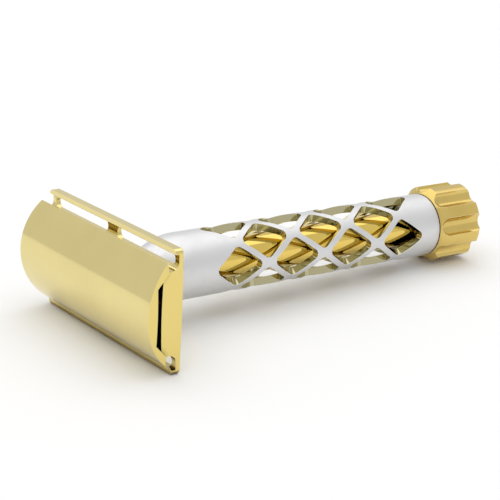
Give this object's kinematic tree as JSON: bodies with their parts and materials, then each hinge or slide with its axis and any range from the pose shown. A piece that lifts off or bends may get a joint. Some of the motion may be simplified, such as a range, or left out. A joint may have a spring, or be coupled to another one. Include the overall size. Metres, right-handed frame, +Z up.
{
  "type": "safety razor",
  "caption": "Double-edge safety razor with a curved gold head, a pierced silver handle round a gold core rod, and a fluted knob that clamps the head.",
  "frame": {"origin": "middle of the bottom of the bounding box, on the surface that the razor lies on", "axes": "+X along the handle from the head to the knob, +Y along the head, +Z up; the handle axis falls 2.46 degrees towards the knob, because the razor lies on its lower guard bar and its knob"},
  "size_m": [0.0984, 0.0486, 0.0244],
  "materials": {
    "polished_gold": "polished",
    "deep_gold": "polished",
    "satin_gold": "satin",
    "satin_silver": "satin, bead blasted",
    "steel": "machined",
    "bronze": "machined"
  },
  "bodies": {
    "handle": {"cage": "satin_silver", "base_plate": "polished_gold", "plate_sleeve": "steel", "neck_bush": "bronze", "front_washer": "bronze", "rear_bush": "bronze", "rear_washer": "steel"},
    "knob_and_core": {"core": "deep_gold", "thread_insert": "steel", "knob": "satin_gold", "knob_washer": "steel", "knob_screw": "steel"},
    "cap_and_stud": {"cap": "polished_gold", "cap_stud": "steel", "cap_posts": "polished_gold"}
  },
  "joints": [
    {"name": "knob_turn", "type": "hinge", "parent": "handle", "child": "knob_and_core", "pos_m": [0.0427, 0, 0.00857], "axis": [0.9991, 0, -0.043], "range_deg": [0, 2592.1]},
    {"name": "cap_lift", "type": "slide", "parent": "handle", "child": "cap_and_stud", "axis": [-0.9991, 0, 0.043], "range_m": [0, 0.00576]}
  ],
  "couplings": [
    {"joint": "knob_turn", "follows": "cap_lift", "rad_per_m": 7854}
  ]
}
